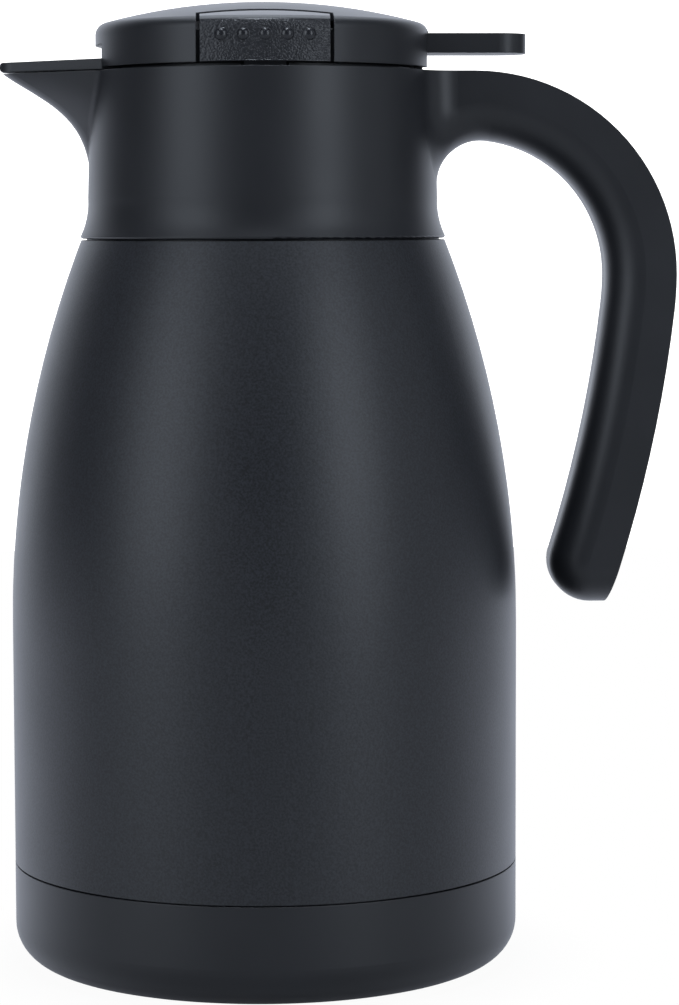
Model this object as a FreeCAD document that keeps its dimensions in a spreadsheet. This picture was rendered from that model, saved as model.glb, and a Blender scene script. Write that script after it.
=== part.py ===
import FreeCAD, Part
import os
import Sketcher

# Vacuum carafe: a double-walled steel flask with a base cup, a moulded collar with
# spout and handle, and a lift-off lid with two squeeze buttons and a rocking pour lever.
# Frame: origin in the middle of the resting face, +Z up, +X towards the handle.

# Every length is in millimetres and drives the model through the sheet.
SIZES = {
    # flask
    "body_radius": 63.0,
    "shell_wall": 0.6,
    "seam_height": 25.1,
    "seam_gap": 0.4,
    "shoulder_start": 85.0,
    "seat_height": 180.1,
    "seat_radius": 45.1,
    "neck_radius": 39.5,
    "neck_height": 25.9,
    "shell_end_height": 11.0,
    "liner_wall": 0.5,
    "vacuum_gap": 5.0,
    "liner_floor_height": 18.0,
    "liner_corner_radius": 14.0,
    "liner_neck_rise": 0.9,
    "liner_cone_height": 19.0,
    "liner_neck_gap": 4.0,
    "bottom_wall": 0.6,
    "bottom_height": 13.0,
    "getter_radius": 6.0,
    "getter_thickness": 2.4,
    "getter_offset": 22.0,
    # base cup
    "cup_wall": 1.2,
    "cup_fit": 0.1,
    "cup_corner_radius": 10.0,
    "cup_groove_radius": 34.0,
    "cup_groove_width": 8.0,
    "cup_groove_depth": 1.2,
    # collar
    "collar_foot_radius": 45.2,
    "collar_foot_round": 0.6,
    "collar_seam_depth": 1.5,
    "collar_waist_radius": 43.3,
    "collar_waist_rise": 10.0,
    "collar_flare_radius": 19.0,
    "collar_top_radius": 42.4,
    "collar_height": 40.8,
    "neck_fit": 0.1,
    "gasket_thickness": 1.5,
    "gasket_margin": 0.4,
    "ledge_thickness": 2.0,
    "throat_radius": 35.6,
    "bowl_radius": 39.8,
    "catch_drop": 2.3,
    "catch_slot": 2.5,
    "catch_depth": 1.0,
    # spout
    "spout_reach": 64.5,
    "spout_rim_drop": 0.4,
    "spout_depth": 24.3,
    "spout_root_half_width": 17.2,
    "spout_nose_radius": 5.0,
    "spout_root": 36.0,
    "spout_crease_radius": 3.0,
    # handle
    "handle_reach": 101.7,
    "handle_width": 24.5,
    "handle_thickness": 16.65,
    "handle_outer_bend": 49.95,
    "handle_inner_bend": 33.3,
    "handle_root_bend": 11.5,
    "handle_root_inset": 0.6,
    "handle_root": 33.0,
    "handle_knee_radius": 79.5,
    "handle_knee_drop": 8.8,
    "handle_grip_radius": 344.7,
    "handle_end_height": 89.6,
    "handle_toe_radius": 10.0,
    "handle_palm_round": 9.0,
    "handle_crease_radius": 10.0,
    "cover_thickness": 1.5,
    "cover_gap": 0.15,
    "cover_width": 15.0,
    "cover_start": 4.0,
    "cover_end_rise": 7.0,
    # lid
    "lid_gap": 0.9,
    "lid_radius": 41.15,
    "lid_wall": 2.0,
    "lid_corner_radius": 3.0,
    "lid_height": 16.2,
    "dome_radius": 149.0,
    "plate_thickness": 2.0,
    "plate_fit": 0.1,
    "boss_radius": 3.2,
    "boss_place": 21.2,
    "screw_radius": 1.3,
    "screw_bite": 6.0,
    "screw_head_radius": 2.7,
    "screw_head_height": 1.8,
    "screw_fit": 0.05,
    # stopper
    "stopper_radius": 36.6,
    "stopper_wall": 2.0,
    "plug_radius": 33.2,
    "plug_depth": 13.0,
    "deck_rise": 1.0,
    "deck_thickness": 2.0,
    "seal_groove_depth": 1.5,
    "seal_height": 4.0,
    "seal_lift": 2.0,
    "seal_clearance": 0.2,
    "port_place": 24.0,
    "port_half_length": 4.0,
    "port_half_width": 8.5,
    "port_rim": 1.5,
    "port_rim_height": 1.0,
    "outflow_half_width": 12.4,
    "latch_window_half_width": 5.5,
    "latch_window_height": 7.2,
    # pour lever
    "pivot_rise": 6.8,
    "pivot_radius": 1.5,
    "pivot_fit": 0.04,
    "barrel_radius": 3.4,
    "beam_half_width": 7.6,
    "beam_rise": 5.0,
    "tab_rise": 3.6,
    "tab_thickness": 4.8,
    "tab_reach": 65.2,
    "tab_half_width": 8.0,
    "tab_corner_radius": 7.0,
    "tab_root": 36.8,
    "stop_place": 38.1,
    "stop_thickness": 1.3,
    "stop_half_width": 2.5,
    "stop_drop": 5.2,
    "flap_reach": 65.3,
    "flap_lift": 0.4,
    "flap_thickness": 2.7,
    "flap_tip_thickness": 2.3,
    "flap_tip_round": 1.3,
    "flap_half_width": 11.8,
    "flap_nose_radius": 5.2,
    "flap_root": 37.0,
    "neck_of_beam": 9.0,
    "pad_half_length": 6.0,
    "pad_half_width": 10.4,
    "pad_thickness": 2.6,
    "lever_clearance": 0.4,
    "ear_gap": 0.5,
    "ear_thickness": 3.0,
    "ear_half_length": 4.5,
    "ear_height": 9.4,
    "spring_place": 22.0,
    "spring_radius": 3.1,
    "spring_wire": 0.6,
    "spring_cup_wall": 1.2,
    "spring_cup_depth": 7.0,
    "spring_fit": 0.3,
    "flap_opening_rise": 5.6,
    "plate_opening_start": 8.0,
    "plate_notch_start": 29.0,
    # squeeze buttons
    "button_half_width": 15.4,
    "button_side_gap": 0.9,
    "button_inner_edge": 33.8,
    "button_top_gap": 2.3,
    "button_foot_gap": 0.2,
    "button_wall": 2.0,
    "button_travel": 2.0,
    "shelf_clearance": 0.3,
    "shelf_thickness": 2.0,
    "shelf_half_width": 12.9,
    "shelf_inner_edge": 27.0,
    "shelf_seat_thickness": 2.0,
    "shelf_seat_half_width": 4.0,
    "shelf_seat_height": 7.6,
    "guide_gap": 0.4,
    "guide_thickness": 3.2,
    "guide_height": 6.0,
    "guide_start": 25.0,
    "latch_inner": 37.3,
    "latch_thickness": 1.5,
    "latch_half_width": 5.0,
    "latch_nose": 0.3,
    "latch_nose_height": 2.0,
    "latch_drop": 6.3,
    "push_spring_radius": 2.5,
    "push_spring_wire": 0.5,
    "push_spring_rise": 7.3,
    "dot_pitch": 5.14,
    "dot_radius": 1.9,
    "dot_sink": 1.2,
    "dot_rise": 6.5,
    # cuts run past the faces they open by this much
    "overrun": 1.0,
}

# Spout sections from foot to rim: share of the depth, of the overhang past the collar,
# of the root half width, and of the nose radius.
SPOUT_SHARES = (
    (0.0, -0.03, 0.62, 1.9),
    (0.25, 0.04, 0.72, 1.6),
    (0.5, 0.205, 0.82, 1.3),
    (0.75, 0.55, 0.91, 1.1),
    (1.0, 1.0, 1.0, 1.0),
)
CHANNEL_SHARES = (
    (0.55, 0.11, 0.6, 0.9),
    (0.77, 0.42, 0.67, 0.75),
    (1.0, 0.87, 0.74, 0.6),
)

DOT_COUNT = 5
HALF = 0.5
QUARTER_TURN_SINE = HALF ** HALF

doc = FreeCAD.newDocument("vacuum_carafe")
sheet = doc.addObject("Spreadsheet::Sheet", "dims")
for row, (alias, value) in enumerate(SIZES.items(), start=1):
    sheet.set(f"A{row}", alias)
    sheet.set(f"B{row}", str(value))
    sheet.setAlias(f"B{row}", alias)
doc.recompute()


class Size:
    """A length with its present value and the sheet expression that drives it."""

    def __init__(self, value, text):
        self.value = value
        self.text = text

    @staticmethod
    def of(other):
        if isinstance(other, Size):
            return other
        return Size(other, repr(other))

    def joined(self, other, sign, value):
        return Size(value, f"({self.text} {sign} {other.text})")

    def __add__(self, other):
        other = Size.of(other)
        return self.joined(other, "+", self.value + other.value)

    def __sub__(self, other):
        other = Size.of(other)
        return self.joined(other, "-", self.value - other.value)

    def __mul__(self, other):
        other = Size.of(other)
        return self.joined(other, "*", self.value * other.value)

    def __truediv__(self, other):
        other = Size.of(other)
        return self.joined(other, "/", self.value / other.value)

    def __neg__(self):
        return Size(-self.value, f"(0 - {self.text})")

    def root(self):
        return Size(self.value ** HALF, f"sqrt({self.text})")


ZERO = Size(0, "0")


def size(alias):
    """The named size from the sheet."""
    return Size(float(sheet.get(alias)), f"dims.{alias}")


def leg(hypotenuse, other_leg):
    """The remaining leg of a right triangle."""
    return (hypotenuse * hypotenuse - other_leg * other_leg).root()


def new_body(name):
    body = doc.addObject("PartDesign::Body", name)
    body.Label = name
    return body


def new_sketch(body, role, name, offset=ZERO):
    """A sketch on one of the body's own origin planes, moved along its normal."""
    plane = next(f for f in body.Origin.OriginFeatures if f.Role == role)
    sketch = body.newObject("Sketcher::SketchObject", name)
    sketch.AttachmentSupport = [(plane, "")]
    sketch.MapMode = "FlatFace"
    sketch.setExpression("AttachmentOffset.Base.z", offset.text)
    return sketch


def bind(sketch, kind, places, length):
    """A dimension of the sketch, driven by a size."""
    index = sketch.addConstraint(Sketcher.Constraint(kind, *places, length.value))
    sketch.setExpression(f"Constraints[{index}]", length.text)


def arc_between(start, end, bend):
    """The short arc from start to end; a positive bend turns left."""
    chord = end - start
    middle = (start + end) * HALF
    left = FreeCAD.Vector(-chord.y, chord.x, 0).normalize()
    height = max(bend * bend - (chord.Length * HALF) ** 2, 0) ** HALF
    side = 1 if bend > 0 else -1
    centre = middle + left * (side * height)
    apex = centre - left * (side * abs(bend))
    return Part.ArcOfCircle(start, apex, end), side


def add_loop(sketch, points):
    """A closed outline. A point is (x, y), or (x, y, bend) where an arc leaves it."""
    places = [FreeCAD.Vector(p[0].value, p[1].value, 0) for p in points]
    count = len(points)
    ends = []
    for i, point in enumerate(points):
        start, end = places[i], places[(i + 1) % count]
        first, last = 1, 2
        if len(point) == 3:
            edge, side = arc_between(start, end, point[2].value)
            if side < 0:
                first, last = 2, 1
        else:
            edge = Part.LineSegment(start, end)
        ends.append((sketch.addGeometry(edge), first, last))
    for i, (edge, first, last) in enumerate(ends):
        following, head, tail = ends[(i + 1) % count]
        sketch.addConstraint(Sketcher.Constraint("Coincident", edge, last, following, head))
    for point, (edge, first, last) in zip(points, ends):
        bind(sketch, "DistanceX", (-1, 1, edge, first), point[0])
        bind(sketch, "DistanceY", (-1, 1, edge, first), point[1])
        if len(point) == 3:
            bend = point[2] if point[2].value > 0 else -point[2]
            bind(sketch, "Radius", (edge,), bend)


def add_circle(sketch, x, y, radius):
    centre = FreeCAD.Vector(x.value, y.value, 0)
    edge = sketch.addGeometry(Part.Circle(centre, FreeCAD.Vector(0, 0, 1), radius.value))
    bind(sketch, "DistanceX", (-1, 1, edge, 3), x)
    bind(sketch, "DistanceY", (-1, 1, edge, 3), y)
    bind(sketch, "Radius", (edge,), radius)


def rectangle(low_x, high_x, low_y, high_y):
    return [(low_x, low_y), (high_x, low_y), (high_x, high_y), (low_x, high_y)]


def revolve(body, name, points, cut=False, role="XZ_Plane", sweep=None):
    """Turn an outline of (radius, height) points about the upright axis."""
    sketch = new_sketch(body, role, f"{name}_outline")
    add_loop(sketch, points)
    kind = "PartDesign::Groove" if cut else "PartDesign::Revolution"
    feature = body.newObject(kind, name)
    feature.Profile = sketch
    feature.ReferenceAxis = (sketch, ["V_Axis"])
    if sweep is not None:
        feature.Angle = sweep
        feature.Midplane = True
    doc.recompute()
    return feature


def raise_up(body, name, loops, low, high, cut=False, circles=()):
    """Pad or pocket upwards between two heights."""
    sketch = new_sketch(body, "XY_Plane", f"{name}_outline", low)
    for points in loops:
        add_loop(sketch, points)
    for circle in circles:
        add_circle(sketch, *circle)
    feature = body.newObject("PartDesign::Pocket" if cut else "PartDesign::Pad", name)
    feature.Profile = sketch
    feature.setExpression("Length", (high - low).text)
    feature.Reversed = cut
    doc.recompute()
    return feature


def spread(body, name, loops, width, cut=False, circles=(), role="XZ_Plane"):
    """Pad or pocket evenly to both sides of an upright plane."""
    sketch = new_sketch(body, role, f"{name}_outline")
    for points in loops:
        add_loop(sketch, points)
    for circle in circles:
        add_circle(sketch, *circle)
    feature = body.newObject("PartDesign::Pocket" if cut else "PartDesign::Pad", name)
    feature.Profile = sketch
    feature.setExpression("Length", width.text)
    feature.Midplane = True
    doc.recompute()
    return feature


def loft(body, name, levels, cut=False):
    """A smooth solid or cut through flat outlines at their heights."""
    sketches = []
    for number, (height, points) in enumerate(levels):
        sketch = new_sketch(body, "XY_Plane", f"{name}_level_{number}", height)
        add_loop(sketch, points)
        sketches.append(sketch)
    kind = "PartDesign::SubtractiveLoft" if cut else "PartDesign::AdditiveLoft"
    feature = body.newObject(kind, name)
    feature.Profile = sketches[0]
    feature.Sections = sketches[1:]
    doc.recompute()
    return feature


def round_edges(body, name, base, keep, radius):
    """Fillet the edges of a feature that a test picks out."""
    names = [f"Edge{i}" for i, edge in enumerate(base.Shape.Edges, start=1) if keep(edge)]
    feature = body.newObject("PartDesign::Fillet", name)
    feature.Base = (base, names)
    feature.setExpression("Radius", radius.text)
    doc.recompute()
    return feature


def middle_of(edge):
    return edge.valueAt((edge.FirstParameter + edge.LastParameter) * HALF)


# Heights and curves that several pieces share
overrun = size("overrun")
body_radius = size("body_radius")
seat_height = size("seat_height")
seam_gap = size("seam_gap")
shoulder_start = size("shoulder_start")
shoulder_rise = seat_height - shoulder_start
shoulder_inset = body_radius - size("seat_radius")
shoulder_bend = (shoulder_rise * shoulder_rise + shoulder_inset * shoulder_inset) / (shoulder_inset * 2)
shoulder_centre = body_radius - shoulder_bend
mouth_height = seat_height + size("neck_height")
rim_height = mouth_height + size("liner_wall")
ledge_low = rim_height + size("gasket_thickness")
ledge_height = ledge_low + size("ledge_thickness")
collar_low = seat_height + seam_gap
collar_top = collar_low + size("collar_height")
lid_low = collar_top + size("lid_gap")
lid_top = lid_low + size("lid_height")
plate_top = lid_low + size("plate_thickness")
dome_centre = lid_top - size("dome_radius")
deck_low = ledge_height + size("deck_rise")
deck_top = deck_low + size("deck_thickness")
port_top = deck_top + size("port_rim_height")
skirt_radius = size("lid_radius") - size("lid_wall")
pivot_height = lid_low + size("pivot_rise")
bowl_radius = size("bowl_radius")


def shoulder_radius(inset, height):
    """Radius of the flask's shoulder, set in from the outer face, at a height."""
    return shoulder_centre + leg(shoulder_bend - inset, height - shoulder_start)


def make_outer_shell():
    wall = size("shell_wall")
    low = size("shell_end_height")
    step = size("seam_height") + seam_gap
    skirt = body_radius - size("cup_wall") - size("cup_fit")
    neck = size("neck_radius")
    under_seat = seat_height - wall
    body = new_body("outer_shell")
    revolve(body, "shell", [
        (skirt, low),
        (skirt, step),
        (body_radius, step),
        (body_radius, shoulder_start, shoulder_bend),
        (size("seat_radius"), seat_height),
        (neck, seat_height),
        (neck, mouth_height),
        (neck - wall, mouth_height),
        (neck - wall, under_seat),
        (shoulder_radius(wall, under_seat), under_seat, -(shoulder_bend - wall)),
        (body_radius - wall, shoulder_start),
        (body_radius - wall, step + wall),
        (skirt - wall, step + wall),
        (skirt - wall, low),
    ])
    return body


# The liner's three welded pieces share these
liner_inset = size("shell_wall") + size("vacuum_gap")
liner_radius = body_radius - liner_inset
liner_neck_radius = size("neck_radius") - size("shell_wall") - size("liner_neck_gap")
liner_seam = size("liner_floor_height") + size("liner_corner_radius")
liner_foot = seat_height + size("liner_neck_rise")
liner_turn = liner_foot - size("liner_cone_height")


def make_liner_floor():
    wall = size("liner_wall")
    low = size("liner_floor_height")
    corner = size("liner_corner_radius")
    body = new_body("liner_floor")
    revolve(body, "dish", [
        (ZERO, low),
        (liner_radius - corner, low, corner),
        (liner_radius, liner_seam),
        (liner_radius - wall, liner_seam, -(corner - wall)),
        (liner_radius - corner, low + wall),
        (ZERO, low + wall),
    ])
    return body


def make_inner_liner():
    wall = size("liner_wall")
    inner_inset = liner_inset + wall
    body = new_body("inner_liner")
    revolve(body, "wall", [
        (liner_radius, liner_seam),
        (liner_radius, shoulder_start, shoulder_bend - liner_inset),
        (shoulder_radius(liner_inset, liner_turn), liner_turn),
        (shoulder_radius(inner_inset, liner_turn), liner_turn, -(shoulder_bend - inner_inset)),
        (liner_radius - wall, shoulder_start),
        (liner_radius - wall, liner_seam),
    ])
    return body


def make_liner_neck():
    wall = size("liner_wall")
    neck = liner_neck_radius
    body = new_body("liner_neck")
    revolve(body, "funnel", [
        (shoulder_radius(liner_inset, liner_turn), liner_turn),
        (neck, liner_foot),
        (neck, mouth_height),
        (size("neck_radius"), mouth_height),
        (size("neck_radius"), rim_height),
        (neck - wall, rim_height),
        (neck - wall, liner_foot),
        (shoulder_radius(liner_inset + wall, liner_turn), liner_turn),
    ])
    return body


def make_vacuum_bottom():
    wall = size("bottom_wall")
    low = size("shell_end_height")
    level = size("bottom_height")
    radius = body_radius - size("cup_wall") - size("cup_fit") - size("shell_wall")
    body = new_body("vacuum_bottom")
    revolve(body, "dished_plate", [
        (ZERO, level),
        (radius - wall, level),
        (radius - wall, low),
        (radius, low),
        (radius, level + wall),
        (ZERO, level + wall),
    ])
    return body


def make_getter():
    low = size("bottom_height") + size("bottom_wall")
    body = new_body("getter")
    spot = (size("getter_offset"), ZERO, size("getter_radius"))
    raise_up(body, "pill", (), low, low + size("getter_thickness"), circles=[spot])
    return body


def make_base_cup():
    wall = size("cup_wall")
    corner = size("cup_corner_radius")
    top = size("seam_height")
    depth = size("cup_groove_depth")
    inner = size("cup_groove_radius")
    outer = inner + size("cup_groove_width")
    body = new_body("base_cup")
    revolve(body, "cup", [
        (ZERO, ZERO),
        (inner, ZERO),
        (inner + depth, depth),
        (outer - depth, depth),
        (outer, ZERO),
        (body_radius - corner, ZERO, corner),
        (body_radius, corner),
        (body_radius, top),
        (body_radius - wall, top),
        (body_radius - wall, corner, -(corner - wall)),
        (body_radius - corner, wall),
        (outer, wall),
        (outer - depth, wall + depth),
        (inner + depth, wall + depth),
        (inner, wall),
        (ZERO, wall),
    ])
    return body


def make_neck_gasket():
    margin = size("gasket_margin")
    neck = size("neck_radius") - margin
    body = new_body("neck_gasket")
    revolve(body, "ring", [
        (size("throat_radius"), rim_height),
        (neck, rim_height),
        (neck, ledge_low),
        (size("throat_radius"), ledge_low),
    ])
    return body


# Handle curves, seen from the side
handle_reach = size("handle_reach")
bend_height = collar_top - size("handle_outer_bend")
outer_centre = handle_reach - size("handle_outer_bend")
knee_radius = size("handle_knee_radius")
knee_drop = size("handle_knee_drop")
grip_radius = size("handle_grip_radius")
knee_centre = handle_reach - knee_radius
knee_sine = knee_drop / knee_radius
knee_cosine = leg(knee_radius, knee_drop) / knee_radius
grip_centre = knee_centre + (knee_radius - grip_radius) * knee_cosine
grip_centre_height = bend_height - (knee_radius - grip_radius) * knee_sine


def knee_point(inset):
    """Where the knee bend passes into the long grip bend, set in from the outer face."""
    reach = knee_radius - inset
    return knee_centre + reach * knee_cosine, bend_height - reach * knee_sine


def grip_reach(inset, height):
    """Reach of the long grip bend, set in from the outer face, at a height."""
    return grip_centre + leg(grip_radius - inset, grip_centre_height - height)


def handle_outline():
    """Side outline of the handle moulding, into the collar."""
    thick = size("handle_thickness")
    end = size("handle_end_height")
    toe = size("handle_toe_radius")
    toe_height = end + toe
    toe_span = grip_radius - thick + toe
    toe_centre = grip_centre + leg(toe_span, grip_centre_height - toe_height)
    toe_scale = (grip_radius - thick) / toe_span
    toe_touch = grip_centre_height - (grip_centre_height - toe_height) * toe_scale
    inner_bend = size("handle_inner_bend")
    inner_centre = handle_reach - thick - inner_bend
    root_bend = size("handle_root_bend")
    root_foot = size("collar_waist_radius") - size("handle_root_inset")
    root_sink = root_foot - size("handle_root")
    root_centre = root_foot + root_bend
    shift = root_centre - inner_centre
    lift = leg(inner_bend - root_bend, shift)
    scale = inner_bend / (inner_bend - root_bend)
    root_height = bend_height + lift
    back_knee = knee_point(ZERO)
    palm_knee = knee_point(thick)
    return [
        (size("handle_root"), root_height - root_sink, root_sink),
        (root_foot, root_height, -root_bend),
        (inner_centre + shift * scale, bend_height + lift * scale, -inner_bend),
        (handle_reach - thick, bend_height, -(knee_radius - thick)),
        (palm_knee[0], palm_knee[1], -(grip_radius - thick)),
        (grip_centre + (toe_centre - grip_centre) * toe_scale, toe_touch, toe),
        (toe_centre, end),
        (grip_reach(ZERO, end), end, grip_radius),
        (back_knee[0], back_knee[1], knee_radius),
        (handle_reach, bend_height, size("handle_outer_bend")),
        (outer_centre, collar_top),
        (size("handle_root"), collar_top),
    ]


def cover_outline(fit, depth, proud):
    """Side outline of the strip along the handle's back: its ends set in, its depth, its stand-out."""
    bend = size("handle_outer_bend")
    start = size("cover_start") + fit
    low = size("handle_end_height") + size("cover_end_rise") + fit
    inner_knee = knee_point(depth)
    back_knee = knee_point(-proud)
    return [
        (outer_centre + start, bend_height + leg(bend - depth, start), -(bend - depth)),
        (handle_reach - depth, bend_height, -(knee_radius - depth)),
        (inner_knee[0], inner_knee[1], -(grip_radius - depth)),
        (grip_reach(depth, low), low),
        (grip_reach(-proud, low), low, grip_radius + proud),
        (back_knee[0], back_knee[1], knee_radius + proud),
        (handle_reach + proud, bend_height, bend + proud),
        (outer_centre + start, bend_height + leg(bend + proud, start)),
    ]


def spout_level(shares, inset_root):
    """One flat outline of the spout: straight cheeks that run into a round nose."""
    depth_share, reach_share, width_share, nose_share = shares
    height = collar_top - size("spout_depth") * (1 - depth_share)
    waist = size("collar_waist_radius")
    reach = waist + (size("spout_reach") - waist) * reach_share
    half_width = size("spout_root_half_width") * width_share
    nose = size("spout_nose_radius") * nose_share
    root = inset_root
    centre = reach - nose
    run = centre - root
    span = run * run + half_width * half_width
    tangent = (span - nose * nose).root()
    touch_x = (nose * nose * run - nose * tangent * half_width) / span - centre
    touch_y = (nose * nose * half_width + nose * tangent * run) / span
    return height, [
        (-root, half_width),
        (touch_x, touch_y, nose),
        (touch_x, -touch_y),
        (-root, -half_width),
    ]


def make_collar():
    foot = size("collar_foot_radius")
    edge = size("collar_foot_round")
    waist_height = collar_low + size("collar_waist_rise")
    root = size("spout_root")
    body = new_body("collar")
    handle = spread(body, "handle", [handle_outline()], size("handle_width"))
    half = size("handle_width").value * HALF
    near = size("cup_fit").value
    thick = size("handle_thickness")
    root_sink = size("collar_waist_radius") - size("handle_root_inset") - size("handle_root")
    bends = (
        root_sink,
        size("handle_root_bend"),
        size("handle_inner_bend"),
        knee_radius - thick,
        grip_radius - thick,
        size("handle_toe_radius"),
    )

    def on_palm(item):
        """Long side edges of the handle that face the flask, and those of its toe."""
        spot = middle_of(item)
        if abs(abs(spot.y) - half) > near:
            return False
        if item.Curve.TypeId != "Part::GeomCircle":
            return spot.z < size("handle_end_height").value + near
        return any(abs(item.Curve.Radius - bend.value) < near for bend in bends)

    round_edges(body, "palm_round", handle, on_palm, size("handle_palm_round"))
    revolve(body, "ring", [
        (ZERO, seat_height),
        (foot - size("collar_seam_depth"), seat_height),
        (foot - size("collar_seam_depth"), collar_low),
        (foot - edge, collar_low, edge),
        (foot, collar_low + edge, -size("collar_flare_radius")),
        (size("collar_waist_radius"), waist_height),
        (size("collar_top_radius"), collar_top),
        (ZERO, collar_top),
    ])
    spout = loft(body, "spout", [spout_level(shares, root) for shares in SPOUT_SHARES])

    def on_ring(item):
        """Curved edges where the handle and the spout leave the ring."""
        if item.Curve.TypeId in ("Part::GeomCircle", "Part::GeomLine"):
            return False
        spots = (item.valueAt(item.FirstParameter), middle_of(item), item.valueAt(item.LastParameter))
        return all((spot.x ** 2 + spot.y ** 2) ** HALF < foot.value for spot in spots)

    crease = round_edges(
        body, "spout_crease", spout,
        lambda item: on_ring(item) and middle_of(item).x < 0,
        size("spout_crease_radius"),
    )
    round_edges(
        body, "handle_crease", crease,
        lambda item: on_ring(item) and middle_of(item).x > 0,
        size("handle_crease_radius"),
    )
    groove_top = collar_top - size("catch_drop")
    groove_low = groove_top - size("catch_slot")
    groove = bowl_radius + size("catch_depth")
    throat = size("throat_radius")
    sleeve = size("neck_radius") + size("neck_fit")
    revolve(body, "bore", [
        (ZERO, collar_low - overrun),
        (sleeve, collar_low - overrun),
        (sleeve, ledge_low),
        (throat, ledge_low),
        (throat, ledge_height),
        (bowl_radius, ledge_height),
        (bowl_radius, groove_low),
        (groove, groove_low),
        (groove, groove_top),
        (bowl_radius, groove_top),
        (bowl_radius, collar_top + overrun),
        (ZERO, collar_top + overrun),
    ], cut=True)
    levels = [spout_level(shares, root) for shares in CHANNEL_SHARES]
    levels.append((collar_top + overrun, levels[-1][1]))
    loft(body, "channel", levels, cut=True)
    ring_edge = -size("collar_top_radius")
    tip = -(size("spout_reach") + overrun)
    slope = [
        (ring_edge, collar_top),
        (ring_edge, collar_top + overrun),
        (tip, collar_top + overrun),
        (tip, collar_top - size("spout_rim_drop")),
    ]
    spread(body, "rim_slope", [slope], size("spout_root_half_width") * 2, cut=True)
    recess = cover_outline(ZERO, size("cover_thickness") + size("cover_gap"), overrun)
    spread(body, "cover_recess", [recess], size("cover_width"), cut=True)
    return body


def make_handle_cover():
    fit = size("cover_gap")
    outline = cover_outline(fit, size("cover_thickness"), ZERO)
    body = new_body("handle_cover")
    spread(body, "strip", [outline], size("cover_width") - fit * 2)
    return body


def dome_points(inset):
    """Corner and dome of the lid, set in from the outer face, from the skirt upwards."""
    corner = size("lid_corner_radius")
    reach = size("lid_radius") - corner
    span = size("dome_radius") - corner
    corner_height = dome_centre + leg(span, reach)
    scale = (size("dome_radius") - inset) / span
    return [
        (size("lid_radius") - inset, corner_height, corner - inset),
        (reach * scale, dome_centre + (corner_height - dome_centre) * scale, size("dome_radius") - inset),
        (ZERO, lid_top - inset),
    ]


def turned_back(points):
    """The same outline walked the other way, its bends turned with it."""
    back = []
    for here, before in zip(reversed(points), list(reversed(points))[1:] + [None]):
        if before is not None and len(before) == 3:
            back.append((here[0], here[1], -before[2]))
        else:
            back.append((here[0], here[1]))
    return back


def boss_places():
    place = size("boss_place")
    return [(place * x, place * y) for x in (1, -1) for y in (1, -1)]


def make_lid_cover():
    wall = size("lid_wall")
    outer = [(size("lid_radius"), lid_low)] + dome_points(ZERO)
    inner = [(skirt_radius, lid_low)] + dome_points(wall)
    body = new_body("lid_cover")
    revolve(body, "dome", outer + turned_back(inner))
    bosses = [(x, y, size("boss_radius")) for x, y in boss_places()]
    boss_top = lid_top - wall - boss_sag()
    raise_up(body, "screw_bosses", (), plate_top, boss_top, circles=bosses)
    holes = [(x, y, size("screw_radius") + size("screw_fit")) for x, y in boss_places()]
    raise_up(body, "screw_holes", (), plate_top, plate_top + size("screw_bite"), cut=True, circles=holes)
    far = size("lid_radius") + overrun
    side = size("button_half_width") + size("button_side_gap")
    edge = size("button_inner_edge") - size("button_top_gap")
    openings = [rectangle(-side, side, edge, far), rectangle(-side, side, -far, -edge)]
    raise_up(body, "button_openings", openings, lid_low - overrun, lid_top, cut=True)
    flap = size("flap_half_width") + size("lever_clearance")
    front = [rectangle(-far, -boss_reach(), -flap, flap)]
    raise_up(body, "flap_opening", front, lid_low - overrun, lid_low + size("flap_opening_rise"), cut=True)
    tab = size("tab_half_width") + size("lever_clearance")
    rear = [rectangle(boss_reach(), far, -tab, tab)]
    slot_top = lid_low + size("tab_rise") + size("tab_thickness") + size("lever_clearance")
    raise_up(body, "tab_slot", rear, lid_low - overrun, slot_top, cut=True)
    return body


def boss_reach():
    """How far in from the skirt the front and rear cuts reach: to the plate's screw bosses."""
    return size("boss_place") + size("boss_radius")


def boss_sag():
    """Fall of the dome's inside from the apex to the inner side of a screw boss."""
    reach = size("boss_place") / QUARTER_TURN_SINE - size("boss_radius")
    inside = size("dome_radius") - size("lid_wall")
    return inside - leg(inside, reach)


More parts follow.
